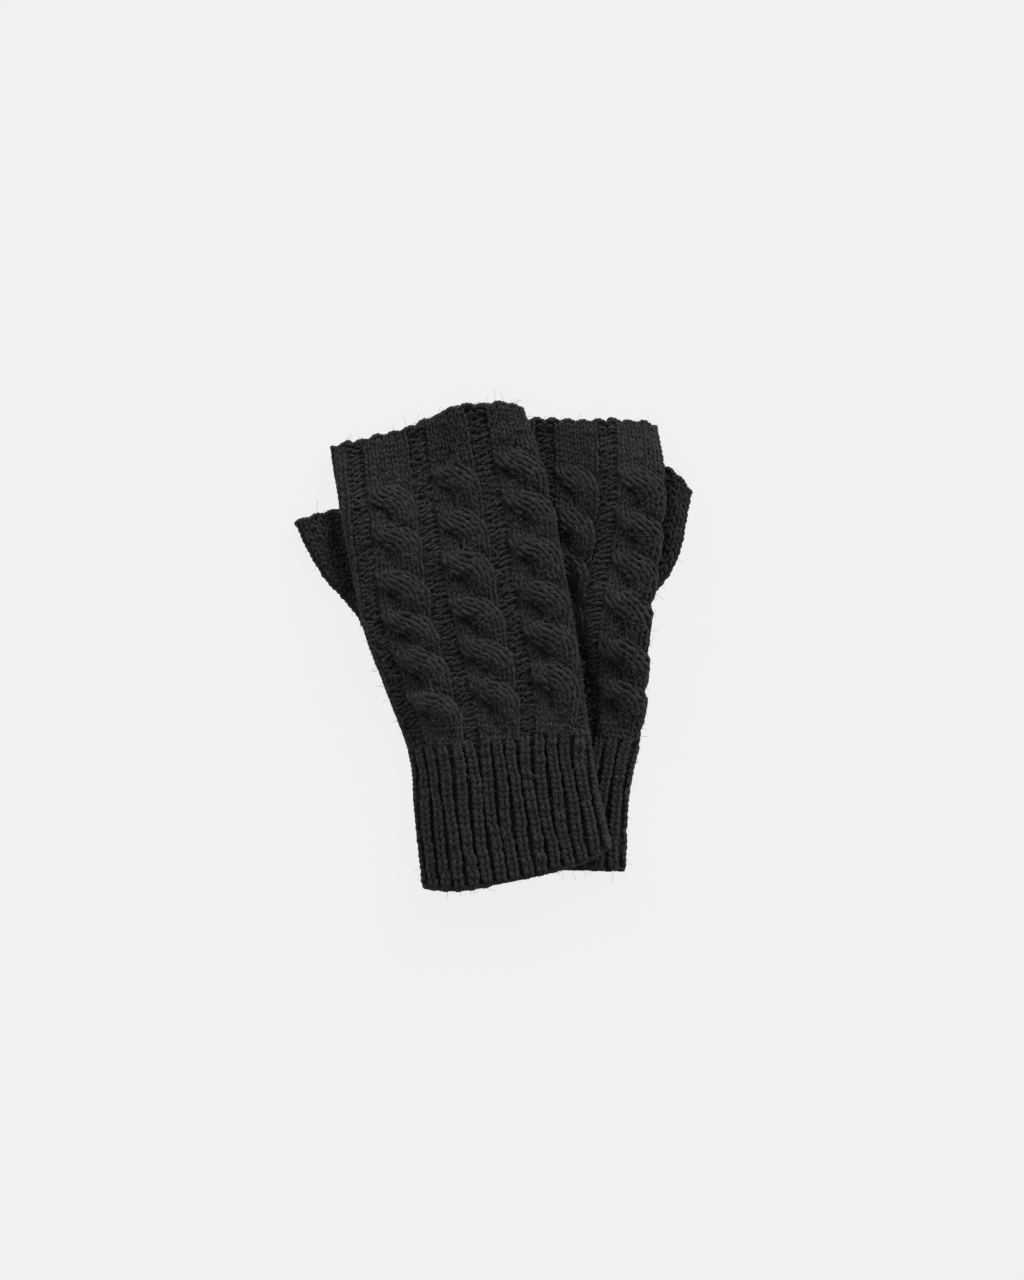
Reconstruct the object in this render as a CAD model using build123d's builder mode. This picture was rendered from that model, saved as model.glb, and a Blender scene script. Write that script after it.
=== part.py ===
from build123d import *

import os
from collections import namedtuple
from math import cos, pi, sqrt

# A pair of cable-knit fingerless gloves, lying palm down and fanned: the right-hand glove on the left,
# over the left-hand glove on the right. +Y runs towards the fingers and +Z up. Millimetres.
# Each glove is a flattened fabric tube. It is described by stations, from the cuff to the fingers: each is
# a line across the tube, from its left fold to its right fold, with the height of its underside.

os.makedirs("parts", exist_ok=True)

# Driving dimensions of the fabric tubes
WALL = 1.8                # thickness of the hand's fabric
THICKNESS = 8.9           # the hand tube over both layers
THUMB_WALL = 1.5
THUMB_THICKNESS = 7.7
SINK = 0.3                # what the floor flattens off a tube that lies on it
SQUARENESS = 7            # how square a flattened tube's section is towards its folds
FOLD_STEPS = (0, 0.22, 0.45, 0.65, 0.8, 0.9, 0.96, 0.99, 1)

# Edges and seam
BIND_OFF = 2.4            # width of the bound-off edges along the tube
THUMB_BIND_OFF = 2.0
CAST_ON = 2.0
SEAM_DEPTH = 3.0          # how far the linked selvedges stand into the hand
SEAM_HEIGHT = 1.6
SEAM_GAP = 0.9            # from the fold's inner wall to the selvedges

# Levels of the undersides
FLOOR = -SINK             # lying on the floor
OVER_THUMB = 8.0          # lying on its own thumb sleeve
OVER_GLOVE = 9.0          # lying on the other glove

# The hole that joins the thumb sleeve to the palm
THUMB_HOLE_LONG = 21.0
THUMB_HOLE_WIDE = 14.0

Station = namedtuple("Station", "left right undersides")


def level(height):
    """Undersides of a station that lies level at one height."""
    return ((0, height), (1, height))


# Each underside is a place across the tube, from 0 at the left fold to 1 at the right one, and its height.
RIGHT_CUFF = [
    Station((-30.5, -102.0), (46.0, -89.6), ((0, 4.0), (0.25, OVER_GLOVE), (1, OVER_GLOVE))),
    Station((-34.5, -72.0), (46.0, -66.0), ((0, 3.0), (0.24, OVER_GLOVE), (1, OVER_GLOVE))),
    Station((-36.5, -44.5), (40.3, -36.0), ((0, 2.5), (0.24, OVER_GLOVE), (1, OVER_GLOVE))),
]
RIGHT_HAND = [
    RIGHT_CUFF[-1],
    Station((-45.5, -19.0), (35.8, -2.0), ((0, 4.5), (0.25, 7.6), (0.5, 9.2), (0.75, OVER_GLOVE), (1, 9.8))),
    Station(
        (-54.5, 6.0),
        (31.0, 26.0),
        ((0, OVER_THUMB), (0.3, OVER_THUMB), (0.5, 9.2), (0.75, OVER_GLOVE), (1, 10.4)),
    ),
    Station(
        (-59.5, 30.0),
        (26.0, 51.0),
        ((0, OVER_THUMB), (0.3, OVER_THUMB), (0.5, 9.2), (0.75, OVER_GLOVE), (1, 9.6)),
    ),
    Station(
        (-65.5, 61.0),
        (18.5, 82.0),
        ((0, OVER_THUMB), (0.1, 7.6), (0.35, 3.5), (0.5, 4.5), (0.72, 9.2), (1, OVER_GLOVE)),
    ),
    Station((-69.4, 83.4), (11.2, 101.8), ((0, 0.6), (0.25, 0.6), (0.5, 2.0), (0.72, 9.2), (1, OVER_GLOVE))),
]
RIGHT_THUMB = [
    Station((-56.5, 12.5), (-27.5, 22.0), level(FLOOR)),
    Station((-71.0, 32.5), (-41.5, 42.0), level(FLOOR)),
    Station((-83.6, 51.4), (-57.0, 59.2), level(FLOOR)),
]

LEFT_CUFF = [
    Station((-20.5, -91.0), (56.3, -92.4), level(FLOOR)),
    Station((-19.0, -65.0), (58.0, -66.6), level(FLOOR)),
    Station((-16.5, -38.5), (60.8, -40.0), level(FLOOR)),
]
LEFT_HAND = [
    LEFT_CUFF[-1],
    Station((-20.0, -16.5), (63.6, -18.0), ((0, FLOOR), (0.62, FLOOR), (1, 2.4))),
    Station((-20.5, 9.0), (65.8, 6.5), ((0, FLOOR), (0.6, FLOOR), (0.76, OVER_THUMB), (1, OVER_THUMB))),
    Station((-17.0, 38.0), (70.0, 36.0), ((0, FLOOR), (0.57, FLOOR), (0.75, OVER_THUMB), (1, OVER_THUMB))),
    Station((-13.5, 81.0), (72.3, 79.0), ((0, FLOOR), (0.57, FLOOR), (0.8, OVER_THUMB), (1, OVER_THUMB))),
    Station((-12.7, 96.0), (69.5, 94.2), ((0, FLOOR), (0.6, FLOOR), (1, 2.0))),
]
LEFT_THUMB = [
    Station((41.0, 21.0), (66.0, 13.0), level(FLOOR)),
    Station((49.0, 44.0), (76.0, 36.0), level(FLOOR)),
    Station((59.5, 77.0), (83.4, 64.4), level(FLOOR)),
]

ACROSS = [-step for step in reversed(FOLD_STEPS)] + list(FOLD_STEPS[1:])


def station_plane(station):
    """The upright plane through a station: its x runs from the left fold to the right, its y is up."""
    left, right = Vector(*station.left), Vector(*station.right)
    across = (right - left).normalized()
    return Plane(origin=(left + right) * 0.5, x_dir=across, z_dir=across.cross(Vector(0, 0, 1)))


def underside(station, place):
    """Height of the station's underside at a place from 0, the left fold, to 1, the right fold."""
    spans = zip(station.undersides, station.undersides[1:])
    low, high = next((span for span in spans if place <= span[1][0]), station.undersides[-2:])
    along = max(0, min(1, (place - low[0]) / (high[0] - low[0])))
    return low[1] + (high[1] - low[1]) * (1 - cos(pi * along)) / 2


def skin(station, thickness, inset, side):
    """Points over the top (side 1) or the bottom (side -1) of the tube, an inset inside its surface."""
    half = (Vector(*station.right) - Vector(*station.left)).length / 2
    points = []
    for step in ACROSS:
        x = step * (half - inset)
        rise = (thickness / 2 - inset) * sqrt(1 - abs(step) ** SQUARENESS)
        middle = underside(station, (x / half + 1) / 2) + thickness / 2
        points.append((x, middle + side * rise))
    return points


def loop_face(station, thickness, inset):
    """A sketch of the whole tube section, an inset inside its surface."""
    with BuildSketch(station_plane(station)) as section:
        with BuildLine():
            Spline(*skin(station, thickness, inset, 1))
            Spline(*skin(station, thickness, inset, -1))
        make_face()
    return section.sketch


def layer_face(station, side):
    """A sketch of the upper (side 1) or lower (side -1) layer of the hand tube."""
    outer = skin(station, THICKNESS, 0, side)
    inner = skin(station, THICKNESS, WALL, side)
    with BuildSketch(station_plane(station)) as section:
        with BuildLine():
            Spline(*outer)
            Spline(*inner)
            Line(outer[0], inner[0])
            Line(outer[-1], inner[-1])
        make_face()
    return section.sketch


def tube(stations, thickness, wall):
    """An open tube through the stations."""
    with BuildPart() as sleeve:
        loft([loop_face(station, thickness, 0) for station in stations])
        loft([loop_face(station, thickness, wall) for station in stations], mode=Mode.SUBTRACT)
        split(bisect_by=Plane.XY, keep=Keep.TOP)
    return sleeve.part


def edge_ring(station, thickness, wall, length):
    """A band as wide as length, on the open end of a tube."""
    with BuildPart() as ring:
        extrude(loop_face(station, thickness, 0), amount=length)
        extrude(loop_face(station, thickness, wall), amount=length, mode=Mode.SUBTRACT)
        split(bisect_by=Plane.XY, keep=Keep.TOP)
    return ring.part


def hand_layer(stations, side):
    """One layer of the hand, from fold to fold."""
    with BuildPart() as layer:
        loft([layer_face(station, side) for station in stations])
        split(bisect_by=Plane.XY, keep=Keep.TOP)
    return layer.part


def thumb_hole_face(thumb):
    """The outline of the thumb hole, seen from above, over the root of the sleeve."""
    root, middle = thumb[0], thumb[1]
    ends = [(Vector(*station.left) + Vector(*station.right)) * 0.5 for station in (root, middle)]
    centre = ends[0] * 0.45 + ends[1] * 0.55
    along = ends[1] - ends[0]
    hole_plane = Plane(origin=(centre.X, centre.Y, THUMB_THICKNESS / 2), x_dir=along, z_dir=(0, 0, 1))
    with BuildSketch(hole_plane) as hole:
        Ellipse(THUMB_HOLE_LONG / 2, THUMB_HOLE_WIDE / 2)
    return hole.sketch


def palm(stations, thumb):
    """The lower layer of the hand, with the thumb hole through it."""
    with BuildPart() as layer:
        add(hand_layer(stations, -1))
        extrude(thumb_hole_face(thumb), amount=THUMB_THICKNESS, mode=Mode.SUBTRACT)
    return layer.part


def thumb_sleeve(stations):
    """The thumb's tube, open towards the palm's thumb hole."""
    with BuildPart() as sleeve:
        add(tube(stations, THUMB_THICKNESS, THUMB_WALL))
        extrude(thumb_hole_face(stations), amount=THUMB_THICKNESS, mode=Mode.SUBTRACT)
    return sleeve.part


def side_seam(stations, fold):
    """The linked selvedges inside the hand, along the left (fold -1) or right (fold 1) fold."""
    with BuildPart() as seam:
        for station in stations:
            half = (Vector(*station.right) - Vector(*station.left)).length / 2
            x = fold * (half - WALL - SEAM_GAP - SEAM_DEPTH / 2)
            middle = underside(station, (x / half + 1) / 2) + THICKNESS / 2
            with BuildSketch(station_plane(station)):
                with Locations((x, middle)):
                    Rectangle(SEAM_DEPTH, SEAM_HEIGHT)
        loft()
    return seam.part


def glove(name, cuff, hand, thumb, seam_fold):
    """Every piece of one glove, by its node's name."""
    return {
        f"{name}_rib_cuff": tube(cuff, THICKNESS, WALL),
        f"{name}_cast_on_edge": edge_ring(cuff[0], THICKNESS, WALL, CAST_ON),
        f"{name}_cable_back": hand_layer(hand, 1),
        f"{name}_plain_palm": palm(hand, thumb),
        f"{name}_finger_bind_off": edge_ring(hand[-1], THICKNESS, WALL, -BIND_OFF),
        f"{name}_side_seam": side_seam(hand, seam_fold),
        f"{name}_thumb_sleeve": thumb_sleeve(thumb),
        f"{name}_thumb_bind_off": edge_ring(thumb[-1], THUMB_THICKNESS, THUMB_WALL, -THUMB_BIND_OFF),
    }


pieces = {
    **glove("right", RIGHT_CUFF, RIGHT_HAND, RIGHT_THUMB, 1),
    **glove("left", LEFT_CUFF, LEFT_HAND, LEFT_THUMB, -1),
}

for name, piece in pieces.items():
    piece.label = name
    export_step(piece, f"parts/{name}.step")

whole = Compound(children=list(pieces.values())).bounding_box()
print("low", [round(value, 3) for value in whole.min], "high", [round(value, 3) for value in whole.max])
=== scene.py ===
from collections import namedtuple
from math import pi, radians

import bpy
import numpy as np
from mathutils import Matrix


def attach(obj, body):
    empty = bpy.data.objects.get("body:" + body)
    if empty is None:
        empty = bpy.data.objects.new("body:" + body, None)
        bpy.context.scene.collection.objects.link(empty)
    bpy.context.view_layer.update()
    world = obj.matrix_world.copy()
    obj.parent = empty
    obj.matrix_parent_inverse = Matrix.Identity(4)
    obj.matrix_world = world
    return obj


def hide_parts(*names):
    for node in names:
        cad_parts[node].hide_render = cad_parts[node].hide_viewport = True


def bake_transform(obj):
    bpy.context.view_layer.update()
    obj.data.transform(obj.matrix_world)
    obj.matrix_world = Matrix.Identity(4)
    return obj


# A pair of cable-knit fingerless gloves, lying palm down and fanned: the right-hand glove over the left-hand
# one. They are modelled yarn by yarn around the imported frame, and every course is one yarn that loops
# through the wales. +Y runs towards the fingers and +Z up. Lengths are in millimetres until a mesh is made.

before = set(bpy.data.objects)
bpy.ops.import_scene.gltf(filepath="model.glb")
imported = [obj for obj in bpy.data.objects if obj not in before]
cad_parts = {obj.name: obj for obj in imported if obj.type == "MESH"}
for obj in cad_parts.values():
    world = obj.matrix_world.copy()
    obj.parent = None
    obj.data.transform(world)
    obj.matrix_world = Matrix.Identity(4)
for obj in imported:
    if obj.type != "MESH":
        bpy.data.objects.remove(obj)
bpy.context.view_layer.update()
draw = np.random.default_rng(11)

MM = 0.001

# The fabric tubes, as the CAD parts have them
THICKNESS = 8.9
THUMB_THICKNESS = 7.7
SQUARENESS = 7            # how square a tube's section is towards its folds
FLOOR = -0.3              # underside of a tube that lies on the floor
OVER_THUMB = 8.0          # and of one that lies on its own thumb sleeve
OVER_GLOVE = 9.0          # and of one that lies on the other glove

# The knitting, in courses along a glove and wales round it
RIB_ROWS = 24
BODY_ROWS = 60
ROWS = RIB_ROWS + BODY_ROWS
WALES = 52
BACK_FIRST = -10          # first wale of the back, counted from the middle gutter
PALM_FIRST = 17           # first wale of the palm
STRAND = 3                # wales in each of a cable's two strands
CABLE_WALES = 2 * STRAND
REPEAT = CABLE_WALES + 2  # a cable and a gutter of two wales
WALE_SHAPE = 1.45         # a wale's width over a course's height
CROSSINGS = RIB_ROWS + 9.0 + 8.0 * np.arange(6)
SWING_BELOW = 2.9         # courses that a strand takes to reach the middle of a crossing
SWING_ABOVE = 1.7         # and to get clear of it
CROSSING_LAG = 0.1        # how late a strand is in the middle
FAR_OFF = 999             # where a crossing that isn't there is taken to be
NEAR = 0.1                # courses over which a strand's slope is measured
CROSSING_SPREAD = 0.6     # how early or late a single crossing may be
CROSSING_SIZES = (1.08, 0.72)    # how high the strands rise, from the first crossing to the last
SIZE_SPREAD = 0.2         # how much higher or lower a single crossing may be, as a share
GUTTER_SPREAD = 1.25      # how much wider the purl wales of a gutter lie
GUTTER_SLANT = 0.5        # how far the courses climb across a gutter
RIB_WIDTH = 1.24          # width of a raised rib
GROOVE_WIDTH = 0.8        # width of the wale sunk between two ribs
THUMB_WALES = 18
THUMB_ROWS = 20
ROOT_ROWS = 7             # courses of the thumb that narrow into the palm

# How uneven the stitches are
WOBBLE_PLACE = 0.06       # round the tube, in wales
WOBBLE_ROW = 0.09         # along it, in courses
WOBBLE_HEIGHT = 0.16      # millimetres
WOBBLE_YARN = 0.05        # in the yarn's thickness, as a share
GUTTER_ROW = 0.1          # how much more in a gutter, along the tube
GUTTER_RISE = 0.12        # and in height

# Heights above the fabric's middle surface, and depths (millimetres)
DEPTH = 0.65              # how far a loop runs in front of and behind the fabric's middle
GUTTER_MORE = 0.2         # how much farther in a gutter
FLAT_DEPTH = 0.84         # how far where a cable's wales run straight
RIB_DEPTH = 0.4           # how far in the rib
LEFT_STRAND = (-1.0, 3.7, 1.0)    # a cable's left strand: its height, its rise when over and drop when under
RIGHT_STRAND = (1.8, 1.1, 3.6)    # the same for the right strand
LEFT_REACH = (1.9, 2.2)   # courses over which the left strand rises when over, and drops when under
RIGHT_REACH = (3.0, 1.9)  # the same for the right strand
RIGHT_EARLY = 1.5         # courses before its crossing at which the right strand is highest
OVER_WIDE = 0.28          # how much wider a strand gets when over, as a share
CROWNS = (0.7, 1.5)       # how far the left and the right strand fall off to their sides
FLAT_HEIGHT = 0.1         # where a cable's wales run straight
GUTTER_HEIGHT = -1.9
RIB_HEIGHT = 1.2
GROOVE_HEIGHT = -1.7
GROUND = -1.1             # the felted inner fibres under the loops
GUTTER_GROUND = 1.2       # how much deeper they lie under a gutter
GROOVE_GROUND = 1.1       # and under a groove of the rib
THUMB_GROUND = -0.9
GROUND_SHEET = 0.35       # their thickness
GROUND_FLOOR = 0.25       # how near they may come to the floor
GROUND_STEP = 0.5         # wales between two columns of their grid
INSET = 1.6               # from the hand's outer surface to the fabric's middle
THUMB_INSET = 1.2
FOLD_INSET = -0.3         # the same at the folds, which spread a little
RIB_DRAW = 1.4            # how far the rib draws the cuff's folds in
FOLD_RELIEF = 0.15        # how much of the relief is left at the folds
COVERED_RELIEF = 0.2      # and where the other glove lies on it
EDGE_RELIEF = 0.8         # how much of it an edge follows
EDGE_PRESS = 3.0          # how far the upper glove's edge presses the lower glove down
VALLEY = 3.8              # depth of the valley that the hand presses into its thumb

# The yarn (radii in millimetres; a loop's own shape in wales and courses)
YARN = 0.79
RIB_YARN = 1.25           # how thick the yarn lies in the rib
OVER_YARN = 0.34          # how much thicker it lies in a strand that crosses over
FLAT_YARN = 0.88          # how thick it lies where a cable's wales run straight
RESTING = 0.9             # how near the yarn's middle may come to the floor, in radii
LEAN = 0.21               # how far a loop's legs lean
LOOP = 0.92               # half of a loop's height
JOIN = 0.45               # how far along its half a loop starts to join the next wale's
DIP = 1.6                 # how far the yarn dips where it steps to a wale at another height, as a share
PINCH = 0.1               # how much thinner the yarn is in a loop's head and feet, and thicker in its legs

# How finely each zone's yarn is drawn: points in a loop, sides round the yarn, and loose fibres on it
BACK_YARN = (14, 6, 1300)
PALM_YARN = (10, 5, 1000)
CUFF_YARN = (12, 6, 1200)
SLEEVE_YARN = (14, 6, 900)
BACK_FIBRES = 5000        # more loose fibres over the whole back

# The edges and the seam: strands twisted round each other
TWIST_WIDE = 0.7          # how far an edge's strands run from the middle of their twist
THUMB_TWIST_WIDE = 0.6
TWIST_LONG = 0.22         # the same along the glove, in courses
CAST_ON_SCALLOP = -0.2    # how far an edge's scallops stand out along the glove, in courses
BIND_OFF_SCALLOP = 0.55
THUMB_SCALLOP = 0.35
UNEVEN = (0.4, 1.5)       # how small and how big a scallop may be
SEAM_INSIDE = 1.9         # how deep the linked selvedges lie inside the fold
SEAM_YARN = 0.9           # how thick their yarn is, as a share
RIGHT_SEAM = 15.0         # the wale that each glove's seam runs along
LEFT_SEAM = -9.0

# Loose fibres
HAIR = 0.055              # radius
HAIR_SIDES = 3
HAIR_POINTS = 6
SHORTEST = 1.5            # the shortest fibre, and how much longer the longest one is
LONGER = 4.8
FOLD_HAIRS = 0.25         # length of the fibres at the folds, as a share
RISE = 0.3                # how steeply they may leave the yarn
STANDING_RISE = 0.6       # and how much more steeply the ones do that stand off it
STANDING = 0.004          # share of the fibres that stand off the yarn
ASTRAY = 0.8              # how far they stray from the yarn's way
HUG = 0.9                 # how far they bend down again
CURL = 0.6
FAINTEST = 0.25           # how pale the darkest fibre is, where 1 is the palest

# The bake layout
BAKE_MARGIN = 0.05        # gap beside a yarn's lane, as a share of the lane
GROUND_BAKE = 0.49        # height that each side of the ground takes

Station = namedtuple("Station", "left right undersides")


def level(height):
    """Undersides of a station that lies level at one height."""
    return ((0, height), (1, height))


# Stations across each tube, from the cuff to the fingers: its left fold, its right fold and its underside.
# An underside is heights at places across the tube, from 0 at the left fold to 1 at the right one.
RIGHT_CUFF = [
    Station((-31.2, -102.2), (50.3, -84.8), ((0, 4.0), (0.25, OVER_GLOVE), (1, OVER_GLOVE))),
    Station((-34.3, -72.0), (46.0, -66.0), ((0, 3.0), (0.24, OVER_GLOVE), (1, OVER_GLOVE))),
    Station((-36.5, -44.5), (40.3, -36.0), ((0, 2.5), (0.24, OVER_GLOVE), (1, OVER_GLOVE))),
]
RIGHT_HAND = [
    RIGHT_CUFF[-1],
    Station(
        (-45.5, -19.0),
        (35.8, -2.0),
        ((0, 4.5), (0.25, 7.6), (0.5, 9.2), (0.75, OVER_GLOVE), (1, 9.8)),
    ),
    Station(
        (-54.5, 6.0),
        (31.0, 26.0),
        ((0, OVER_THUMB), (0.3, OVER_THUMB), (0.5, 9.2), (0.75, OVER_GLOVE), (1, 10.4)),
    ),
    Station(
        (-59.5, 30.0),
        (26.0, 51.0),
        ((0, OVER_THUMB), (0.3, OVER_THUMB), (0.5, 9.2), (0.75, OVER_GLOVE), (1, 9.6)),
    ),
    Station(
        (-65.5, 61.0),
        (18.5, 82.0),
        ((0, OVER_THUMB), (0.1, 7.6), (0.35, 3.5), (0.5, 4.5), (0.72, 9.2), (1, OVER_GLOVE)),
    ),
    Station(
        (-69.6, 85.2),
        (11.4, 103.2),
        ((0, 0.6), (0.25, 0.6), (0.5, 2.0), (0.72, 9.2), (1, OVER_GLOVE)),
    ),
]
RIGHT_THUMB = [
    Station((-57.6, 12.5), (-27.5, 22.0), level(FLOOR)),
    Station((-74.3, 32.8), (-41.5, 42.0), level(FLOOR)),
    Station((-84.2, 52.6), (-57.0, 60.2), level(FLOOR)),
]
RIGHT_ROOT = Station((-51.0, -2.0), (-27.0, 6.0), level(3.4))

LEFT_CUFF = [
    Station((-20.5, -93.8), (56.8, -95.2), level(FLOOR)),
    Station((-19.0, -65.0), (58.0, -66.6), level(FLOOR)),
    Station((-16.5, -38.5), (62.6, -40.0), level(FLOOR)),
]
LEFT_HAND = [
    LEFT_CUFF[-1],
    Station((-20.0, -16.5), (65.0, -18.0), ((0, FLOOR), (0.62, FLOOR), (1, 2.4))),
    Station((-20.5, 9.0), (65.8, 6.5), ((0, FLOOR), (0.6, FLOOR), (0.76, OVER_THUMB), (1, OVER_THUMB))),
    Station((-17.0, 38.0), (70.0, 36.0), ((0, FLOOR), (0.57, FLOOR), (0.75, OVER_THUMB), (1, OVER_THUMB))),
    Station((-13.5, 81.0), (71.8, 79.0), ((0, FLOOR), (0.57, FLOOR), (0.8, OVER_THUMB), (1, OVER_THUMB))),
    Station((-12.7, 96.6), (69.5, 94.9), ((0, FLOOR), (0.6, FLOOR), (1, 2.0))),
]
LEFT_THUMB = [
    Station((40.0, 21.0), (62.5, 13.5), level(FLOOR)),
    Station((49.0, 44.0), (76.9, 36.0), level(FLOOR)),
    Station((59.5, 78.0), (83.6, 65.4), level(FLOOR)),
]
LEFT_ROOT = Station((38.0, 5.0), (62.5, 0.0), level(3.0))

# Where the folds lie: courses from the cast-on to the fingers, and the wales at the left and right folds
FOLD_ROWS = (0, RIB_ROWS - 3, RIB_ROWS + 9, 54, ROWS)
RIGHT_FOLDS = (FOLD_ROWS, (-10.5, -10.5, -9.5, -9.3, -10.9), (18.0, 17.5, 15.6, 15.2, 14.1))
LEFT_FOLDS = (FOLD_ROWS, (-10.5, -10.5, -9.2, -9.2, -10.7), (15.5, 15.5, 14.7, 14.7, 14.8))


def smooth(x):
    x = np.clip(x, 0, 1)
    return x * x * (3 - 2 * x)


def bump(rows, reach):
    return np.exp(-((rows / reach) ** 2))


def swing(rows):
    """How far two strands are through their crossing, from -1 to 1, some courses from it."""
    rows = rows - CROSSING_LAG
    return np.sin(pi / 2 * np.clip(rows / np.where(rows < 0, SWING_BELOW, SWING_ABOVE), -1, 1))


def unit(v):
    return v / np.maximum(np.linalg.norm(v, axis=-1, keepdims=True), 1e-12)


def curve_through(knots, values, at):
    """A smooth curve through values, one row for each knot, read at the places `at`."""
    slopes = np.gradient(values, knots, axis=0)
    i = np.clip(np.searchsorted(knots, at) - 1, 0, len(knots) - 2)
    gap = (knots[i + 1] - knots[i])[:, None]
    t = (at - knots[i])[:, None] / gap
    start = (1 + 2 * t) * (1 - t) ** 2 * values[i] + t * (1 - t) ** 2 * slopes[i] * gap
    return start + t**2 * (3 - 2 * t) * values[i + 1] + t**2 * (t - 1) * slopes[i + 1] * gap


def undersides(station, places):
    """Heights of a station's underside at places from 0, the left fold, to 1, the right fold."""
    knots, heights = np.array(station.undersides).T
    i = np.clip(np.searchsorted(knots, places) - 1, 0, len(knots) - 2)
    along = np.clip((places - knots[i]) / (knots[i + 1] - knots[i]), 0, 1)
    return heights[i] + (heights[i + 1] - heights[i]) * (1 - np.cos(pi * along)) / 2


def evenly(line, count):
    """Points at even distances along a line of points, without its last one."""
    run = np.concatenate([[0], np.cumsum(np.linalg.norm(np.diff(line, axis=0), axis=-1))])
    even = np.linspace(0, run[-1], count + 1)[:-1]
    return np.stack([np.interp(even, run, line[:, axis]) for axis in range(3)], axis=-1)


class Tube:
    """The middle surface of a flattened tube, kept as a grid of points and normals.

    It is read by course, along the tube, and by turn: 0 to 1 over the top from the left fold to the right
    one, and 1 to 2 back underneath. `bow`, `thin`, `fold_inset` and `press` are functions that shift its
    courses, thin it, draw its folds in and press its upper layer down.
    """

    STEP = 0.5            # courses between two rows of the grid
    AROUND = 96           # points of the grid over each layer
    FINE = 240            # points that each layer's section is first drawn with
    SPARE = 3             # courses that the grid runs on past each end
    PLACES = 65           # places across the tube that its underside is kept at
    THINNEST = 0.3        # the least that a layer lies above or below the tube's middle

    def __init__(self, stations, rows, thickness, inset, bow=None, thin=None, fold_inset=None, press=None):
        self.first = rows[0] - self.SPARE
        self.rows = np.arange(self.first, rows[-1] + self.SPARE + 0.01, self.STEP)
        self.inset = inset
        self.bow = bow
        self.press = press
        self.fold_inset = FOLD_INSET if fold_inset is None else fold_inset(self.rows)[:, None]
        self.thickness = thickness * (np.ones(len(self.rows)) if thin is None else thin(self.rows))[:, None]
        knots = np.array(rows, float)
        ends = np.array([station.left + station.right for station in stations], float)
        ends = curve_through(knots, ends, self.rows)
        self.left, self.right = ends[:, :2], ends[:, 2:]
        self.places = np.linspace(0, 1, self.PLACES)
        floors = np.array([undersides(station, self.places) for station in stations])
        self.floors = curve_through(knots, floors, self.rows)
        over, under = self.layer(1), self.layer(-1)[:, ::-1]
        self.points = np.array(
            [np.concatenate([evenly(a, self.AROUND), evenly(b, self.AROUND)]) for a, b in zip(over, under)]
        )
        round_it = np.roll(self.points, -1, axis=1) - np.roll(self.points, 1, axis=1)
        up_it = np.gradient(self.points, axis=0)
        self.normals = unit(np.cross(round_it, up_it))

    def layer(self, side):
        """Points over the upper (side 1) or lower (side -1) layer, from the left fold to the right one."""
        step = -np.cos(np.linspace(0, pi, self.FINE + 1))[None]
        swell = np.sqrt(1 - np.abs(step) ** SQUARENESS)
        across = unit(self.right - self.left)
        along = np.stack([-across[:, 1], across[:, 0]], axis=-1)
        half = np.linalg.norm(self.right - self.left, axis=-1)[:, None] / 2
        x = step * (half - self.fold_inset)
        shift = np.zeros_like(x) if self.bow is None else self.bow(self.rows[:, None], step)
        middle = (self.left + self.right) / 2
        xy = middle[:, None] + across[:, None] * x[..., None] + along[:, None] * shift[..., None]
        low = np.array([np.interp(p, self.places, f) for p, f in zip((x / half + 1) / 2, self.floors)])
        rise = self.thickness / 2 - np.minimum(self.inset, self.thickness / 2 - self.THINNEST)
        z = low + self.thickness / 2 + side * rise * swell
        if self.press is not None and side == 1:
            z = z - self.press(self.rows[:, None], step, xy) * swell
        return np.concatenate([xy, z[..., None]], axis=-1)

    def at(self, turn, row):
        """Points and outward normals."""
        a = (turn % 2) * self.AROUND
        b = np.clip((row - self.first) / self.STEP, 0, len(self.rows) - 1.001)
        a0, b0 = np.floor(a).astype(int), np.floor(b).astype(int)
        fa, fb = (a - a0)[..., None], (b - b0)[..., None]
        a0 = a0 % (2 * self.AROUND)
        a1 = (a0 + 1) % (2 * self.AROUND)

        def mix(grid):
            low = grid[b0, a0] * (1 - fa) + grid[b0, a1] * fa
            return low * (1 - fb) + (grid[b0 + 1, a0] * (1 - fa) + grid[b0 + 1, a1] * fa) * fb

        return mix(self.points), unit(mix(self.normals))


def station_rows(stations, first, count):
    """The course at each station, by the distance between their middles."""
    middles = np.array([np.add(station.left, station.right) / 2 for station in stations])
    run = np.concatenate([[0], np.cumsum(np.linalg.norm(np.diff(middles, axis=0), axis=-1))])
    return list(first + run / run[-1] * count)


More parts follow.
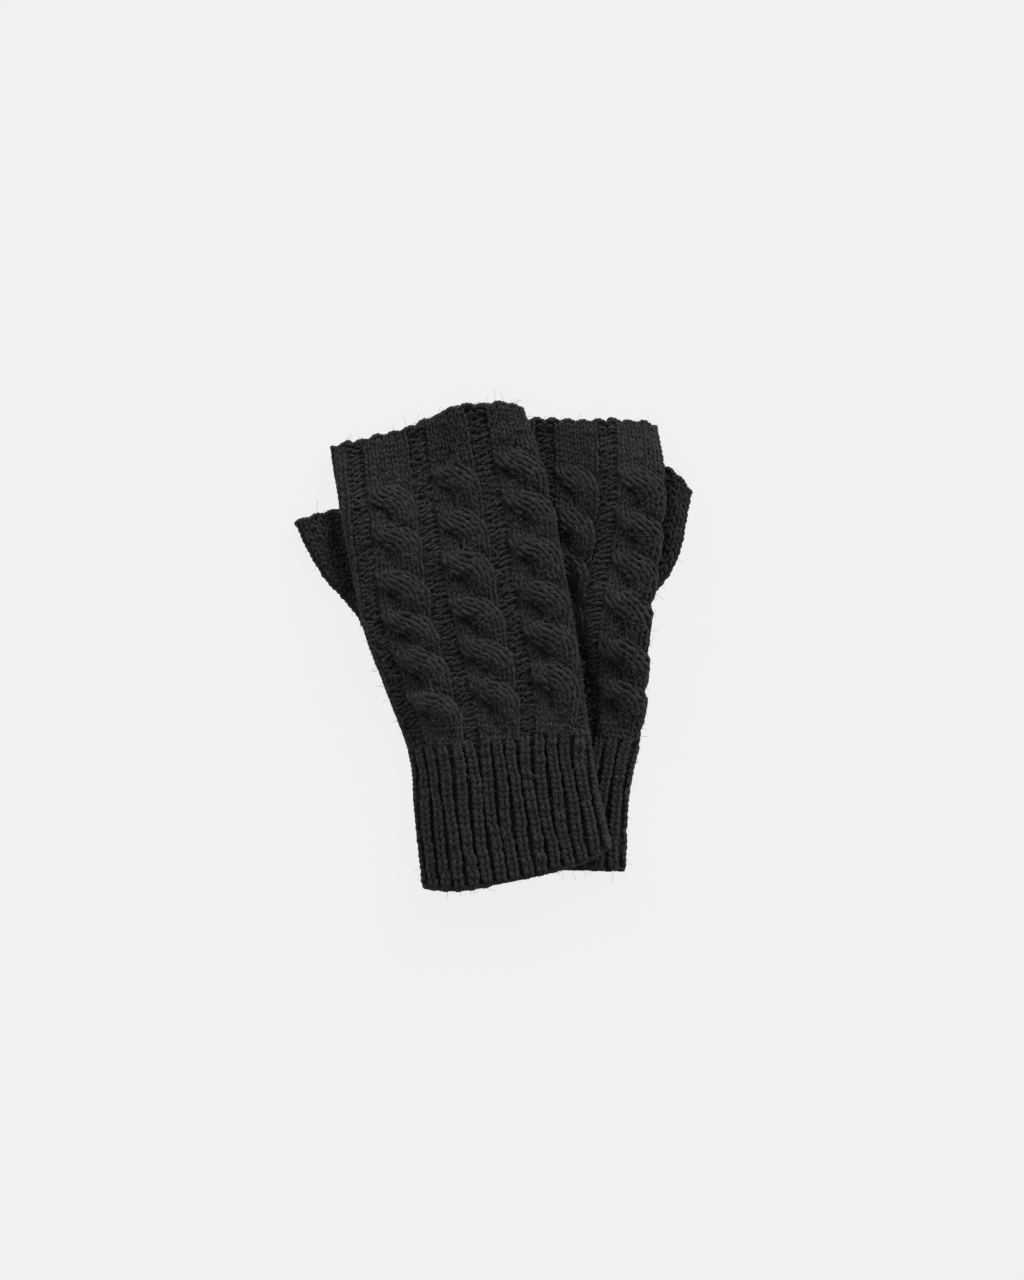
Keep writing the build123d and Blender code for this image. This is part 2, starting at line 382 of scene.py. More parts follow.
class Hand:
    """One glove's hand and cuff: its tube, and how the wales lie round it."""

    def __init__(self, cuff, hand, folds, bow=None, cover=None, press=None):
        stations = cuff + hand[1:]
        rows = station_rows(cuff, 0, RIB_ROWS) + station_rows(hand, RIB_ROWS, BODY_ROWS)[1:]
        self.tube = Tube(stations, rows, THICKNESS, INSET, bow, fold_inset=self.fold_inset, press=press)
        self.folds = folds
        self.cover = cover
        self.wobble = draw.normal(0, 1, (ROWS + 4, WALES + 4, 3))
        cables = WALES // REPEAT + 1
        self.late = draw.uniform(-CROSSING_SPREAD, CROSSING_SPREAD, (cables, len(CROSSINGS)))
        self.size = draw.uniform(1 - SIZE_SPREAD, 1 + SIZE_SPREAD, (cables, len(CROSSINGS)))
        self.size = self.size * np.linspace(*CROSSING_SIZES, len(CROSSINGS))

    @staticmethod
    def fold_inset(row):
        """The rib draws the cuff in."""
        return FOLD_INSET + RIB_DRAW * (1 - smooth((row - RIB_ROWS + 6) / 10))

    def turn(self, wale, row):
        """Where a wale lies round the tube, by how the folds run."""
        left = np.interp(row, self.folds[0], self.folds[1])
        right = np.interp(row, self.folds[0], self.folds[2])
        wale = (wale - left) % WALES
        top = right - left
        return np.where(wale < top, wale / top, 1 + (wale - top) / (WALES - top))

    @staticmethod
    def ribbed(row):
        """How far the rib shows, from 0 to 1."""
        return 1 - smooth((row - RIB_ROWS + 2.0) / 3.6)

    @staticmethod
    def ending(row):
        """How near the bound-off edge is, from 0 to 1."""
        return smooth((row - ROWS + 2.5) / 2.5)

    @staticmethod
    def cabled(row):
        """How far the cables show, from 0 to 1: they form below the first crossing and end past the last."""
        return smooth((row - CROSSINGS[0] + 8) / 4) * (1 - smooth((row - CROSSINGS[-1] - 1) / 4))

    @staticmethod
    def slant(place):
        """How many courses the cables' pull lifts a place: the courses climb across the gutters."""
        place = (place - BACK_FIRST + 5) % WALES + BACK_FIRST - 5
        turn = 2 * pi * place / REPEAT
        on_back = smooth((place - BACK_FIRST + 1) / 2) * smooth((PALM_FIRST + 2 - place) / 2)
        return GUTTER_SLANT * on_back * (np.sin(turn) + 0.35 * np.sin(2 * turn))

    def strand(self, wale, course, row, across):
        """Place, row and height of a point in a cable, and how far its strand lies over the other one."""
        slot = (wale - 1) % REPEAT
        below = np.searchsorted(CROSSINGS, course + 0.5)
        last, coming = np.maximum(below - 1, 0), np.minimum(below, len(CROSSINGS) - 1)
        column = (wale - 1) // REPEAT
        crossed, next_one = (CROSSINGS[i] + self.late[column, i] for i in (last, coming))
        low = row - np.where(below > 0, crossed, -FAR_OFF)
        high = row - np.where(below < len(CROSSINGS), next_one, FAR_OFF)
        is_left = slot < STRAND
        side = np.where(is_left, -STRAND / 2, STRAND / 2)
        middle = wale - slot + STRAND
        centre = middle + side * swing(low) * -swing(high)
        ahead = middle + side * swing(low + NEAR) * -swing(high + NEAR)
        slope = (ahead - centre) / NEAR * WALE_SHAPE
        upright = 1 / np.sqrt(1 + slope**2)
        over = np.where(
            is_left,
            bump(low, LEFT_REACH[0]) * self.size[column, last],
            bump(high + RIGHT_EARLY, RIGHT_REACH[0]) * self.size[column, coming],
        )
        under = np.where(is_left, bump(high, LEFT_REACH[1]), bump(low, RIGHT_REACH[1]))
        off = (slot % STRAND - 1.0 + across) * (1 + OVER_WIDE * over)
        strands = (LEFT_STRAND, RIGHT_STRAND)
        left, right = (start + rise * over - drop * under for start, rise, drop in strands)
        height = np.where(is_left, left, right) - np.where(is_left, *CROWNS) * (off / (STRAND / 2)) ** 2
        drawn_in = 1 - 2 * (GUTTER_SPREAD - 1) / CABLE_WALES
        place = middle + (centre + off * upright - middle) * drawn_in
        return place, row - off * slope * upright * WALE_SHAPE, height, over

    def stitch(self, wale, course, row, across):
        """Place, row, height, depth (mm, below 0 for a purl) and thickness of a point of one course's yarn.

        The point is `across` wales off its wale's middle, at a row as the wale itself counts it.
        """
        slot = (wale - 1) % REPEAT
        on_back = (wale > BACK_FIRST) & (wale < PALM_FIRST)
        gutter = on_back & (slot >= CABLE_WALES)
        cable = on_back & (slot < CABLE_WALES)
        rib = self.ribbed(row)
        among = self.cabled(row)
        flat = cable * (1 - among)
        odd = wale % 2 == 1
        face = np.where(course < RIB_ROWS, np.where(odd, 1.0, -1.0), np.where(gutter, -1.0, 1.0))

        in_cable, risen, strand, over = self.strand(wale, course, row, across)
        between = wale - slot + CABLE_WALES + 1
        plain = wale + 0.5 + across
        plain = np.where(gutter, between + (plain - between) * GUTTER_SPREAD, plain)
        place = np.where(cable, in_cable, plain)
        shifted = np.where(cable, risen, row)
        strand = strand * among + FLAT_HEIGHT * (1 - among)
        height = np.where(cable, strand, np.where(gutter, GUTTER_HEIGHT * (1 - self.ending(row)), 0.0))

        ribbed = wale + 0.5 + across * np.where(odd, RIB_WIDTH, GROOVE_WIDTH)
        ribbed = ribbed + 0.16 * np.sin(0.31 * row + 0.8 * wale) * smooth(row / 6)
        place = place * (1 - rib) + ribbed * rib
        shifted = shifted * (1 - rib) + row * rib
        height = height * (1 - rib) + np.where(odd, RIB_HEIGHT, GROOVE_HEIGHT) * rib

        jitter = self.wobble[course % (ROWS + 4), wale % WALES]
        place = place + WOBBLE_PLACE * jitter[..., 0]
        shifted = shifted + self.slant(place) * (1 - rib) * (1 - self.ending(row))
        shifted = shifted + (WOBBLE_ROW + GUTTER_ROW * gutter) * jitter[..., 2]
        height = height + (WOBBLE_HEIGHT + GUTTER_RISE * gutter) * jitter[..., 1]
        depth = (DEPTH + GUTTER_MORE * gutter + (FLAT_DEPTH - DEPTH) * flat) * (1 - rib) + RIB_DEPTH * rib
        thick = (OVER_YARN * cable * over * among + (FLAT_YARN - 1) * flat) * (1 - rib)
        thick = 1 + (RIB_YARN - 1) * rib + thick
        return place, shifted, height, face * depth, thick * (1 + WOBBLE_YARN * jitter[..., 0])

    def ground_depth(self, place, row):
        """How deep the ground lies: deeper under the grooves and the gutters."""
        place = (place - BACK_FIRST + 1) % WALES + BACK_FIRST - 1
        gutter = 1 - smooth((np.abs((place + REPEAT / 2) % REPEAT - REPEAT / 2) - 0.6) / 0.8)
        gutter = gutter * (place > BACK_FIRST) * (place < PALM_FIRST)
        groove = 0.5 + 0.5 * np.cos(2 * pi * (place - 0.5) / 2)
        rib = self.ribbed(row)
        deeper = GUTTER_GROUND * gutter * (1 - rib) * (1 - self.ending(row))
        return GROUND - deeper - GROOVE_GROUND * groove * rib

    def points(self, place, row, height):
        """Points and normals of places in the fabric. The relief is flatter at folds and where covered."""
        p, n = self.tube.at(self.turn(place, row), row)
        height = height * (FOLD_RELIEF + (1 - FOLD_RELIEF) * n[..., 2] ** 2)
        if self.cover is not None:
            height = height * (1 - (1 - COVERED_RELIEF) * self.cover(p))
        return p + n * height[..., None], n


class Thumb:
    """A thumb's tube, in plain knitting."""

    def __init__(self, root, stations, outer, bow=None):
        rows = [-ROOT_ROWS] + station_rows(stations, 0, THUMB_ROWS)
        self.outer = outer
        self.tube = Tube(
            [root] + stations, rows, THUMB_THICKNESS, THUMB_INSET, bow, self.narrowing, press=self.valley
        )
        self.wobble = draw.normal(0, 1, (THUMB_ROWS + ROOT_ROWS + 4, THUMB_WALES + 4, 3))

    def valley(self, rows, across, xy):
        """How far the hand presses the upper layer down beside it. The outer fold is at `outer`, -1 or 1."""
        inner = -self.outer * across
        return VALLEY * smooth((rows + 2) / 8) * smooth((inner + 0.9 - 0.05 * (rows - 10)) / 0.55)

    @staticmethod
    def narrowing(rows):
        """The sleeve gets thinner in its root, inside the palm."""
        return 0.45 + 0.55 * smooth((rows + ROOT_ROWS) / (ROOT_ROWS + 1))

    def stitch(self, wale, course, row, across):
        """The same as a hand's: plain knitting, a little uneven."""
        jitter = self.wobble[course % (THUMB_ROWS + ROOT_ROWS), wale % THUMB_WALES]
        place = wale + 0.5 + across + WOBBLE_PLACE * jitter[..., 0]
        row = row + WOBBLE_ROW * jitter[..., 2]
        same = np.ones_like(place)
        return place, row, WOBBLE_HEIGHT * jitter[..., 1] * same, DEPTH * same, same

    def ground_depth(self, place, row):
        return THUMB_GROUND + 0 * place

    def points(self, place, row, height):
        p, n = self.tube.at(2 * place / THUMB_WALES, row)
        return p + n * height[..., None], n


def courses(knit, first_row, last_row, first_wale, last_wale, steps):
    """Paths of the yarn, one for each course, their normals and radii, and whether they go all round."""
    closed = last_wale - first_wale in (WALES, THUMB_WALES)
    count = (last_wale - first_wale) * steps + (0 if closed else 1)
    index = np.arange(count)
    wale = np.minimum(first_wale + index // steps, last_wale - 1)
    phase = -pi + 2 * pi * (index - (wale - first_wale) * steps) / steps
    course = np.arange(first_row, last_row)[:, None]
    wale, phase = wale[None] + 0 * course, phase[None] + 0.0 * course
    course = course + 0 * wale
    across = phase / (2 * pi) + LEAN * np.sin(2 * phase)
    row = course + 0.5 + LOOP * np.cos(phase)
    side = np.where(phase < 0, -1, 1)
    share = 0.5 * smooth((np.abs(phase) - JOIN * pi) / ((1 - JOIN) * pi))
    own = knit.stitch(wale, course, row, across)
    other = knit.stitch(wale + side, course, row, across - side)
    place, row, height, depth, thick = (a * (1 - share) + b * share for a, b in zip(own, other))
    height = height - DIP * share * (1 - share) * np.abs(own[2] - other[2])
    paths, normals = knit.points(place, row, height - depth * np.cos(2 * phase))
    radius = YARN * thick * (1 - PINCH * np.cos(2 * phase))
    return paths, normals, radius, closed


def sweep(paths, normals, radius, sides, closed):
    """Yarn of some radius along the paths.

    It gives the points, the faces, the end caps, and for each face's corners their places along the yarn
    (millimetres) and round it (0 to 1), and in the bake layout, where each path has a lane.
    """
    curves, count = paths.shape[:2]
    paths = paths.copy()
    radius = radius + 0.0 * paths[..., 0]
    paths[..., 2] = np.maximum(paths[..., 2], radius * RESTING)
    if closed:
        tangents = np.roll(paths, -1, axis=1) - np.roll(paths, 1, axis=1)
    else:
        tangents = np.gradient(paths, axis=1)
    tangents = unit(tangents)
    sideways = unit(np.cross(tangents, normals))
    upwards = np.cross(sideways, tangents)
    angles = 2 * pi * np.arange(sides) / sides
    rings = (
        paths[:, :, None]
        + radius[..., None, None] * np.cos(angles)[:, None] * sideways[:, :, None]
        + radius[..., None, None] * np.sin(angles)[:, None] * upwards[:, :, None]
    )
    runs = count if closed else count - 1
    c, i, s = np.meshgrid(np.arange(curves), np.arange(runs), np.arange(sides), indexing="ij")
    nxt, turn = (i + 1) % count, (s + 1) % sides

    def number(curve, step, side):
        return (curve * count + step) * sides + side

    quads = np.stack([number(c, i, s), number(c, i, turn), number(c, nxt, turn), number(c, nxt, s)], axis=-1)
    gaps = np.linalg.norm(np.diff(paths, axis=1), axis=-1)
    if closed:
        gaps = np.concatenate([gaps, np.linalg.norm(paths[:, :1] - paths[:, -1:], axis=-1)], axis=1)
    along = np.concatenate([np.zeros((curves, 1)), np.cumsum(gaps, axis=1)], axis=1)
    a0, a1 = along[c, i], along[c, i + 1]
    u = np.stack([a0, a0, a1, a1], axis=-1)
    v = np.stack([s, s + 1, s + 1, s], axis=-1) / sides
    lane = np.stack([c, c, c, c], axis=-1)
    bake = np.stack([u / along.max(), (lane + BAKE_MARGIN + (1 - 2 * BAKE_MARGIN) * v) / curves], axis=-1)
    caps = np.zeros((0, sides), int)
    if not closed:
        starts = number(np.arange(curves)[:, None], 0, np.arange(sides)[None, ::-1])
        ends = number(np.arange(curves)[:, None], count - 1, np.arange(sides)[None])
        caps = np.concatenate([starts, ends])
    yarn = np.stack([u, v], axis=-1)
    return rings.reshape(-1, 3), quads.reshape(-1, 4), caps, yarn.reshape(-1, 4, 2), bake.reshape(-1, 4, 2)


def yarn_mesh(name, tubes, material):
    """One mesh from several sweeps. Its UV layers are the bake layout and the places on the yarn.

    The attribute `loose` is 0 on yarn, and says how pale each loose fibre is.
    """
    points, corners, starts, yarn, bake, loose = [], [], [], [], [], []
    base = loops = 0
    for n, (rings, quads, caps, along, lay) in enumerate(tubes):
        points.append(rings)
        pale = np.zeros(1)
        if caps.shape[1] == HAIR_SIDES:
            pale = FAINTEST + (1 - FAINTEST) * draw.uniform(0, 1, len(caps) // 2) ** 4
        loose.append(np.repeat(pale, len(rings) // len(pale)))
        corners += [quads.ravel() + base, caps.ravel() + base]
        starts += [loops + 4 * np.arange(len(quads))]
        loops += quads.size
        starts += [loops + caps.shape[1] * np.arange(len(caps))]
        loops += caps.size
        lay = lay.copy()
        lay[..., 1] = (lay[..., 1] + n) / len(tubes)
        yarn += [along.reshape(-1, 2), np.zeros((caps.size, 2))]
        bake += [lay.reshape(-1, 2), np.zeros((caps.size, 2))]
        base += len(rings)
    points = np.concatenate(points) * MM
    corners, starts, loose = (np.concatenate(values) for values in (corners, starts, loose))
    mesh = bpy.data.meshes.new(name)
    mesh.vertices.add(len(points))
    mesh.vertices.foreach_set("co", points.astype(np.float32).ravel())
    mesh.loops.add(len(corners))
    mesh.loops.foreach_set("vertex_index", corners.astype(np.int32))
    mesh.polygons.add(len(starts))
    mesh.polygons.foreach_set("loop_start", starts.astype(np.int32))
    for layer, values in (("OFBake", bake), ("yarn", yarn)):
        uv = mesh.uv_layers.new(name=layer)
        uv.data.foreach_set("uv", np.concatenate(values).astype(np.float32).ravel())
    attribute = mesh.attributes.new("loose", "FLOAT", "POINT")
    attribute.data.foreach_set("value", loose.astype(np.float32))
    mesh.update(calc_edges=True)
    mesh.shade_smooth()
    mesh.materials.append(material)
    piece = bpy.data.objects.new(name, mesh)
    bpy.context.scene.collection.objects.link(piece)
    return piece


def knitted(knit, rows, wales, steps, sides, loose):
    """A knitted panel: its yarn, the ground behind it and its loose fibres."""
    paths, normals, radius, closed = courses(knit, *rows, *wales, steps)
    yarn = sweep(paths, normals, radius, sides, closed)
    return [yarn, ground(knit, *rows, *wales), hairs(paths, normals, loose)]


def ground(knit, first_row, last_row, first_wale, last_wale):
    """The yarn's felted inner fibres: a thin closed sheet behind the loops, which no light gets through.

    In the bake layout its front takes the lower half and its back the upper one.
    """
    closed = last_wale - first_wale in (WALES, THUMB_WALES)
    rows = np.linspace(first_row, last_row, int(last_row - first_row) + 1)
    places = np.arange(first_wale, last_wale + (0 if closed else 0.1), GROUND_STEP)
    place, row = np.meshgrid(places, rows)
    depth = knit.ground_depth(place, row)
    front, _ = knit.points(place, row, depth)
    back, _ = knit.points(place, row, depth - GROUND_SHEET)
    points = np.concatenate([front.reshape(-1, 3), back.reshape(-1, 3)])
    points[:, 2] = np.maximum(points[:, 2], GROUND_FLOOR)
    high, wide = place.shape
    grid = np.arange(high * wide).reshape(high, wide)
    if closed:
        grid = np.concatenate([grid, grid[:, :1]], axis=1)
    a, b, c, d = grid[:-1, :-1], grid[:-1, 1:], grid[1:, 1:], grid[1:, :-1]
    sheet = np.stack([a, b, c, d], axis=-1).reshape(-1, 4)
    other = high * wide
    rims = [(grid[0, :-1], grid[0, 1:]), (grid[-1, 1:], grid[-1, :-1])]
    if not closed:
        rims += [(grid[1:, 0], grid[:-1, 0]), (grid[:-1, -1], grid[1:, -1])]
    walls = [np.stack([q, p, p + other, q + other], axis=-1) for p, q in rims]
    quads = np.concatenate([sheet, sheet[:, ::-1] + other] + walls)
    u = np.tile(place.ravel() - first_wale, 2) / (last_wale - first_wale)
    v = np.tile(row.ravel() - first_row, 2) / (last_row - first_row)
    lay = np.stack([u, v * GROUND_BAKE], axis=-1)
    lay[other:, 1] += 0.5
    corners = lay[quads]
    return points, quads, np.zeros((0, 4), int), np.zeros_like(corners), corners


def edge_cord(knit, row, wales, wide, outwards, steps=10, sides=6):
    """Two strands twisted round each other along an edge: a turn for each wale, a scallop for each two."""
    place = np.arange(wales * steps) / steps
    uneven = draw.uniform(*UNEVEN, wales)
    strands = []
    for start in (0, pi):
        angle = 2 * pi * place + start
        size = uneven[((place - 0.01) / 2).astype(int) % wales]
        scallop = outwards * size * np.abs(np.sin(pi * place / 2))
        base = EDGE_RELIEF * (knit.ground_depth(place, row + 0 * place) - GROUND)
        strands.append((place, row + scallop + TWIST_LONG * np.sin(angle), base + wide * np.cos(angle)))
    place, rows, heights = (np.array(v) for v in zip(*strands))
    points, normals = knit.points(place, rows, heights)
    return [sweep(points, normals, YARN, sides, True), hairs(points, normals, wales // 2)]


def seam_cord(knit, wale):
    """The linked selvedges on the inside of a fold: a twisted pair of yarns, a turn for each two courses."""
    steps = 8 * BODY_ROWS
    row = RIB_ROWS + 1 + (BODY_ROWS - 2) * np.arange(steps + 1) / steps
    strands = []
    for start in (0, pi):
        angle = pi * row + start
        strands.append((wale + 0.25 * np.sin(angle), row, -SEAM_INSIDE + TWIST_WIDE * np.cos(angle)))
    place, rows, heights = (np.array(v) for v in zip(*strands))
    points, normals = knit.points(place, rows, heights)
    return sweep(points, normals, YARN * SEAM_YARN, 6, False)


def hairs(paths, normals, count):
    """Loose fibres on the yarn: most lie along it, some stand off it. They are shorter at the folds."""
    curve = draw.integers(0, paths.shape[0], count)
    step = draw.integers(1, paths.shape[1] - 1, count)
    way = unit(paths[curve, step + 1] - paths[curve, step - 1]) * draw.choice((-1, 1), count)[:, None]
    up = normals[curve, step]
    start = paths[curve, step] + up * YARN
    rise = draw.uniform(0.0, RISE, count)[:, None]
    rise = rise + STANDING_RISE * (draw.uniform(0, 1, count) < STANDING)[:, None]
    astray = draw.normal(0, 1, (count, 3))
    astray = astray - np.sum(astray * up, axis=-1, keepdims=True) * up
    heading = unit(way + ASTRAY * astray + rise * up)
    bend = unit(draw.normal(0, 1, (count, 3)) - HUG * up)
    length = SHORTEST + LONGER * draw.uniform(0, 1, count) ** 2
    length = (length * (FOLD_HAIRS + (1 - FOLD_HAIRS) * up[:, 2] ** 2))[:, None, None]
    t = np.linspace(0, 1, HAIR_POINTS)[None, :, None]
    lines = start[:, None] + length * (t * heading[:, None] + CURL * t * t * bend[:, None])
    sideways = np.repeat(unit(np.cross(heading, bend))[:, None], HAIR_POINTS, axis=1)
    return sweep(lines, sideways, HAIR, HAIR_SIDES, False)


# Materials

TWIST = 0.42              # how fast the plies turn along the yarn, for each millimetre
PLIES = 2.0
DARK_FIBRES = 0.28        # how dark and how light the heathered wool gets, against its tint
LIGHT_FIBRES = 2.5
LOOSE_FIBRES = 18         # and how light the palest loose fibres are
CHARCOAL = (0.0142, 0.0142, 0.0150)


def node_of(tree, kind, **settings):
    """A node with values set on its inputs, or on itself where it has no input of that name."""
    node = tree.nodes.new(kind)
    for key, value in settings.items():
        if key in node.inputs:
            node.inputs[key].default_value = value
        else:
            setattr(node, key, value)
    return node


def math_node(tree, operation, first, second=None):
    node = tree.nodes.new("ShaderNodeMath")
    node.operation = operation
    for socket, value in zip(node.inputs, (first, second)):
        if isinstance(value, (int, float)):
            socket.default_value = value
        elif value is not None:
            tree.links.new(value, socket)
    return node.outputs[0]


def wool(name, tint):
    """Charcoal wool yarn: two plies twisted together, heathered fibres and a soft nap."""
    material = bpy.data.materials.new(name)
    material.use_nodes = True
    tree = material.node_tree
    shader = tree.nodes["Principled BSDF"]
    shader.inputs["Specular IOR Level"].default_value = 0.25
    shader.inputs["Sheen Weight"].default_value = 0.18
    shader.inputs["Sheen Roughness"].default_value = 0.45
    shader.inputs["Sheen Tint"].default_value = (0.62, 0.62, 0.64, 1)
    place = node_of(tree, "ShaderNodeUVMap", uv_map="yarn")
    parts = tree.nodes.new("ShaderNodeSeparateXYZ")
    tree.links.new(place.outputs["UV"], parts.inputs[0])
    along, around = parts.outputs["X"], parts.outputs["Y"]
    twist = math_node(tree, "MULTIPLY", along, TWIST)
    phase = math_node(tree, "ADD", twist, math_node(tree, "MULTIPLY", around, PLIES))
    plies = math_node(tree, "ABSOLUTE", math_node(tree, "SINE", math_node(tree, "MULTIPLY", phase, pi)))
    where = tree.nodes.new("ShaderNodeTexCoord")
    fibre = node_of(tree, "ShaderNodeTexNoise", Scale=1000.0, Detail=3.0, Roughness=0.75)
    heather = node_of(tree, "ShaderNodeTexNoise", Scale=480.0, Detail=4.0, Roughness=0.75)
    for noise in (fibre, heather):
        tree.links.new(where.outputs["Object"], noise.inputs["Vector"])
    ramp = tree.nodes.new("ShaderNodeValToRGB")
    ramp.color_ramp.elements[0].position = 0.41
    ramp.color_ramp.elements[0].color = (*(DARK_FIBRES * c for c in tint), 1)
    ramp.color_ramp.elements[1].position = 0.61
    ramp.color_ramp.elements[1].color = (*(LIGHT_FIBRES * c for c in tint), 1)
    blended = math_node(
        tree,
        "ADD",
        math_node(tree, "MULTIPLY", heather.outputs["Fac"], 0.55),
        math_node(tree, "MULTIPLY", fibre.outputs["Fac"], 0.45),
    )
    tree.links.new(blended, ramp.inputs["Fac"])
    loose = node_of(tree, "ShaderNodeAttribute", attribute_name="loose")
    mix = node_of(tree, "ShaderNodeMix", data_type="RGBA")
    mix.inputs[7].default_value = (*(LOOSE_FIBRES * c for c in tint), 1)
    tree.links.new(loose.outputs["Fac"], mix.inputs["Factor"])
    tree.links.new(ramp.outputs["Color"], mix.inputs[6])
    tree.links.new(mix.outputs[2], shader.inputs["Base Color"])
    rough = math_node(tree, "ADD", math_node(tree, "MULTIPLY", fibre.outputs["Fac"], 0.2), 0.74)
    tree.links.new(rough, shader.inputs["Roughness"])
    relief = math_node(tree, "ADD", math_node(tree, "MULTIPLY", plies, 0.7), fibre.outputs["Fac"])
    bumps = node_of(tree, "ShaderNodeBump", Strength=0.9, Distance=0.00022)
    tree.links.new(relief, bumps.inputs["Height"])
    tree.links.new(bumps.outputs["Normal"], shader.inputs["Normal"])
    return material


cable_wool = wool("cable_knit_wool", CHARCOAL)
plain_wool = wool("plain_knit_wool", CHARCOAL)
rib_wool = wool("rib_knit_wool", CHARCOAL)
edge_wool = wool("edge_knit_wool", CHARCOAL)


def place_piece(piece, slot, body, *nodes):
    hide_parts(*nodes)
    if body:
        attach(piece, body)


def make_glove(name, hand, thumb, seam_wale):
    """Every piece of one glove."""
    body = f"{name}_glove"
    middle = RIB_ROWS + BODY_ROWS // 2
    for part, rows in (("lower", (RIB_ROWS, middle)), ("upper", (middle, ROWS))):
        back = knitted(hand, rows, (BACK_FIRST, PALM_FIRST), *BACK_YARN)
        back = yarn_mesh(f"{name}_cable_back_{part}_yarn", back, cable_wool)
        place_piece(back, "cable_knit", body, f"{name}_cable_back")
    palm = knitted(hand, (RIB_ROWS, ROWS), (PALM_FIRST, BACK_FIRST + WALES), *PALM_YARN)
    palm = yarn_mesh(f"{name}_plain_palm_yarn", palm, plain_wool)
    place_piece(palm, "plain_knit", body, f"{name}_plain_palm")
    for part, rows in (("lower", (0, RIB_ROWS // 2)), ("upper", (RIB_ROWS // 2, RIB_ROWS))):
        cuff = knitted(hand, rows, (0, WALES), *CUFF_YARN)
        cuff = yarn_mesh(f"{name}_rib_cuff_{part}_yarn", cuff, rib_wool)
        place_piece(cuff, "rib_knit", body, f"{name}_rib_cuff")
    ends = (
        ("cast_on", -0.1, "cast_on_edge", CAST_ON_SCALLOP),
        ("finger_bind_off", ROWS - 0.1, "finger_bind_off", BIND_OFF_SCALLOP),
    )
    for part, row, node, outwards in ends:
        edge = edge_cord(hand, row, WALES, TWIST_WIDE, outwards)
        edge = yarn_mesh(f"{name}_{part}_yarn", edge, edge_wool)
        place_piece(edge, "edge_knit", body, f"{name}_{node}")
    seam = yarn_mesh(f"{name}_side_seam_yarn", [seam_cord(hand, seam_wale)], edge_wool)
    place_piece(seam, "edge_knit", body, f"{name}_side_seam")

    sleeve = knitted(thumb, (-ROOT_ROWS, THUMB_ROWS), (0, THUMB_WALES), *SLEEVE_YARN)
    sleeve = yarn_mesh(f"{name}_thumb_sleeve_yarn", sleeve, plain_wool)
    place_piece(sleeve, "plain_knit", None, f"{name}_thumb_sleeve")
    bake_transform(sleeve)
    edge = edge_cord(thumb, THUMB_ROWS + 0.1, THUMB_WALES, THUMB_TWIST_WIDE, THUMB_SCALLOP)
    edge = yarn_mesh(f"{name}_thumb_bind_off_yarn", edge, edge_wool)
    place_piece(edge, "edge_knit", f"{name}_thumb", f"{name}_thumb_bind_off")

    paths, normals, _, _ = courses(hand, RIB_ROWS, ROWS, BACK_FIRST, PALM_FIRST, BACK_YARN[0])
    fibres = yarn_mesh(f"{name}_cable_back_fibres", [hairs(paths, normals, BACK_FIBRES)], cable_wool)
    place_piece(fibres, "cable_knit", body, f"{name}_cable_back")


# How each glove lies. Rows are courses, and across is -1 at the left fold and 1 at the right one.

FINGER_SWELL = 4.3
CUFF_HANG = 4.9
THUMB_SWELL = 4.0


def right_bow(row, across):
    """The fanned glove's finger edge swells forwards, and its cuff's edge hangs below its two corners."""
    fingers = smooth((row - 58) / 26) * (FINGER_SWELL * np.exp(-(((across - 0.38) / 0.45) ** 2)) - 1.0)
    cuff = (1 - smooth(row / 13)) * -CUFF_HANG * (1 - across**4)
    return fingers + cuff + rounded_corners(row, across, 2.0)


def left_bow(row, across):
    """The lower glove's finger edge only draws back at its corner."""
    return rounded_corners(row, across, 1.6)


def rounded_corners(row, across, size):
    """The finger edge draws back at its right corner."""
    return -size * smooth((row - ROWS + 9) / 9) * smooth((across - 0.84) / 0.16)


def left_thumb_bow(row, across):
    """The lower glove's thumb edge is rounded."""
    return smooth((row - 8) / 12) * THUMB_SWELL * (1 - across**2)


def past_right_glove(points):
    """How far a point of the lower glove is to the right of the upper one's edge."""
    edge = np.array([station.right for station in RIGHT_CUFF + RIGHT_HAND[1:]])
    return points[..., 0] - np.interp(points[..., 1], edge[:, 1], edge[:, 0])


def under_right_glove(points):
    """How far a point of the lower glove is covered by the upper one, from 0 to 1."""
    return smooth(-past_right_glove(points) / 6) * (points[..., 2] > THICKNESS / 2)


def pressed_by_right_glove(rows, across, xy):
    """How far the upper glove's edge presses down the lower one's upper layer."""
    past = past_right_glove(xy)
    y = xy[..., 1]
    beside = smooth((8 - past) / 6) * smooth((past + 20) / 10)
    return EDGE_PRESS * beside * smooth((y + 52) / 14) * (1 - smooth((y - 25) / 25))


right_hand = Hand(RIGHT_CUFF, RIGHT_HAND, RIGHT_FOLDS, right_bow)
left_hand = Hand(LEFT_CUFF, LEFT_HAND, LEFT_FOLDS, left_bow, under_right_glove, pressed_by_right_glove)
right_thumb = Thumb(RIGHT_ROOT, RIGHT_THUMB, -1)
make_glove("right", right_hand, right_thumb, RIGHT_SEAM)
left_thumb = Thumb(LEFT_ROOT, LEFT_THUMB, 1, left_thumb_bow)
make_glove("left", left_hand, left_thumb, LEFT_SEAM)


# Stage: a pale table that glows a little, two soft lights from beyond the fingers, and the camera overhead

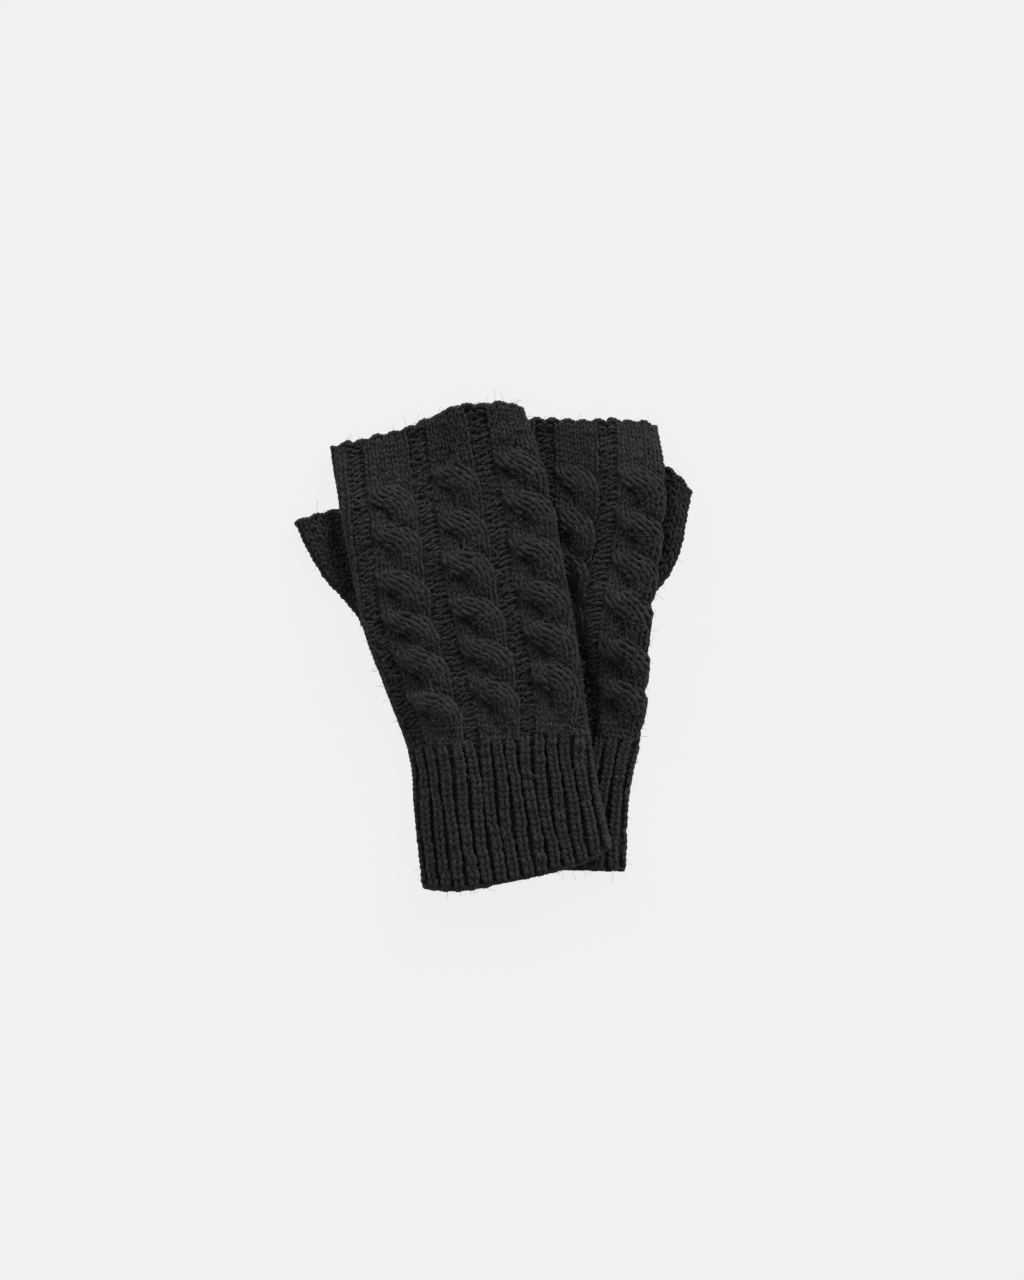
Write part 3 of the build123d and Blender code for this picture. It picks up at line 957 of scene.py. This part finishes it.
TABLE = 6.0               # metres from its middle to its sides
TABLE_GLOW = 0.84
SKY = 0.27
LIGHTS = (("left", -1, 1.2), ("right", 1, 2.65))    # name, side and energy
LIGHT_PLACE = (0.62, 0.9, 0.58)                     # metres, for the light on the right
LIGHT_ANGLE = 30          # degrees
CAMERA_PLACE = (0.0077, 0.0026, 1.305)
LENS = 85
SENSOR = 36


def stage():
    material = bpy.data.materials.new("pale_table")
    material.use_nodes = True
    shader = material.node_tree.nodes["Principled BSDF"]
    shader.inputs["Base Color"].default_value = (0.04, 0.04, 0.04, 1)
    shader.inputs["Roughness"].default_value = 0.9
    shader.inputs["Specular IOR Level"].default_value = 0.1
    shader.inputs["Emission Color"].default_value = (1, 1, 1, 1)
    shader.inputs["Emission Strength"].default_value = TABLE_GLOW
    mesh = bpy.data.meshes.new("table")
    corners = [(x * TABLE, y * TABLE, 0) for x, y in ((-1, -1), (1, -1), (1, 1), (-1, 1))]
    mesh.from_pydata(corners, [], [(0, 1, 2, 3)])
    mesh.materials.append(material)
    table = bpy.data.objects.new("table", mesh)
    bpy.context.scene.collection.objects.link(table)

    world = bpy.data.worlds.new("studio")
    world.use_nodes = True
    world.node_tree.nodes["Background"].inputs["Color"].default_value = (1, 1, 1, 1)
    world.node_tree.nodes["Background"].inputs["Strength"].default_value = SKY
    bpy.context.scene.world = world

    for name, side, energy in LIGHTS:
        light = bpy.data.lights.new(f"soft_light_{name}", "SUN")
        light.angle = radians(LIGHT_ANGLE)
        light.energy = energy
        lamp = bpy.data.objects.new(light.name, light)
        x, y, z = LIGHT_PLACE
        lamp.location = (x * side, y, z)
        lamp.rotation_euler = (-lamp.location).to_track_quat("-Z", "Y").to_euler()
        bpy.context.scene.collection.objects.link(lamp)


def camera():
    data = bpy.data.cameras.new("camera")
    data.lens = LENS
    data.sensor_width = SENSOR
    eye = bpy.data.objects.new("camera", data)
    eye.location = CAMERA_PLACE
    bpy.context.scene.collection.objects.link(eye)
    bpy.context.scene.camera = eye


stage()
camera()
bpy.context.scene.view_settings.view_transform = "Standard"
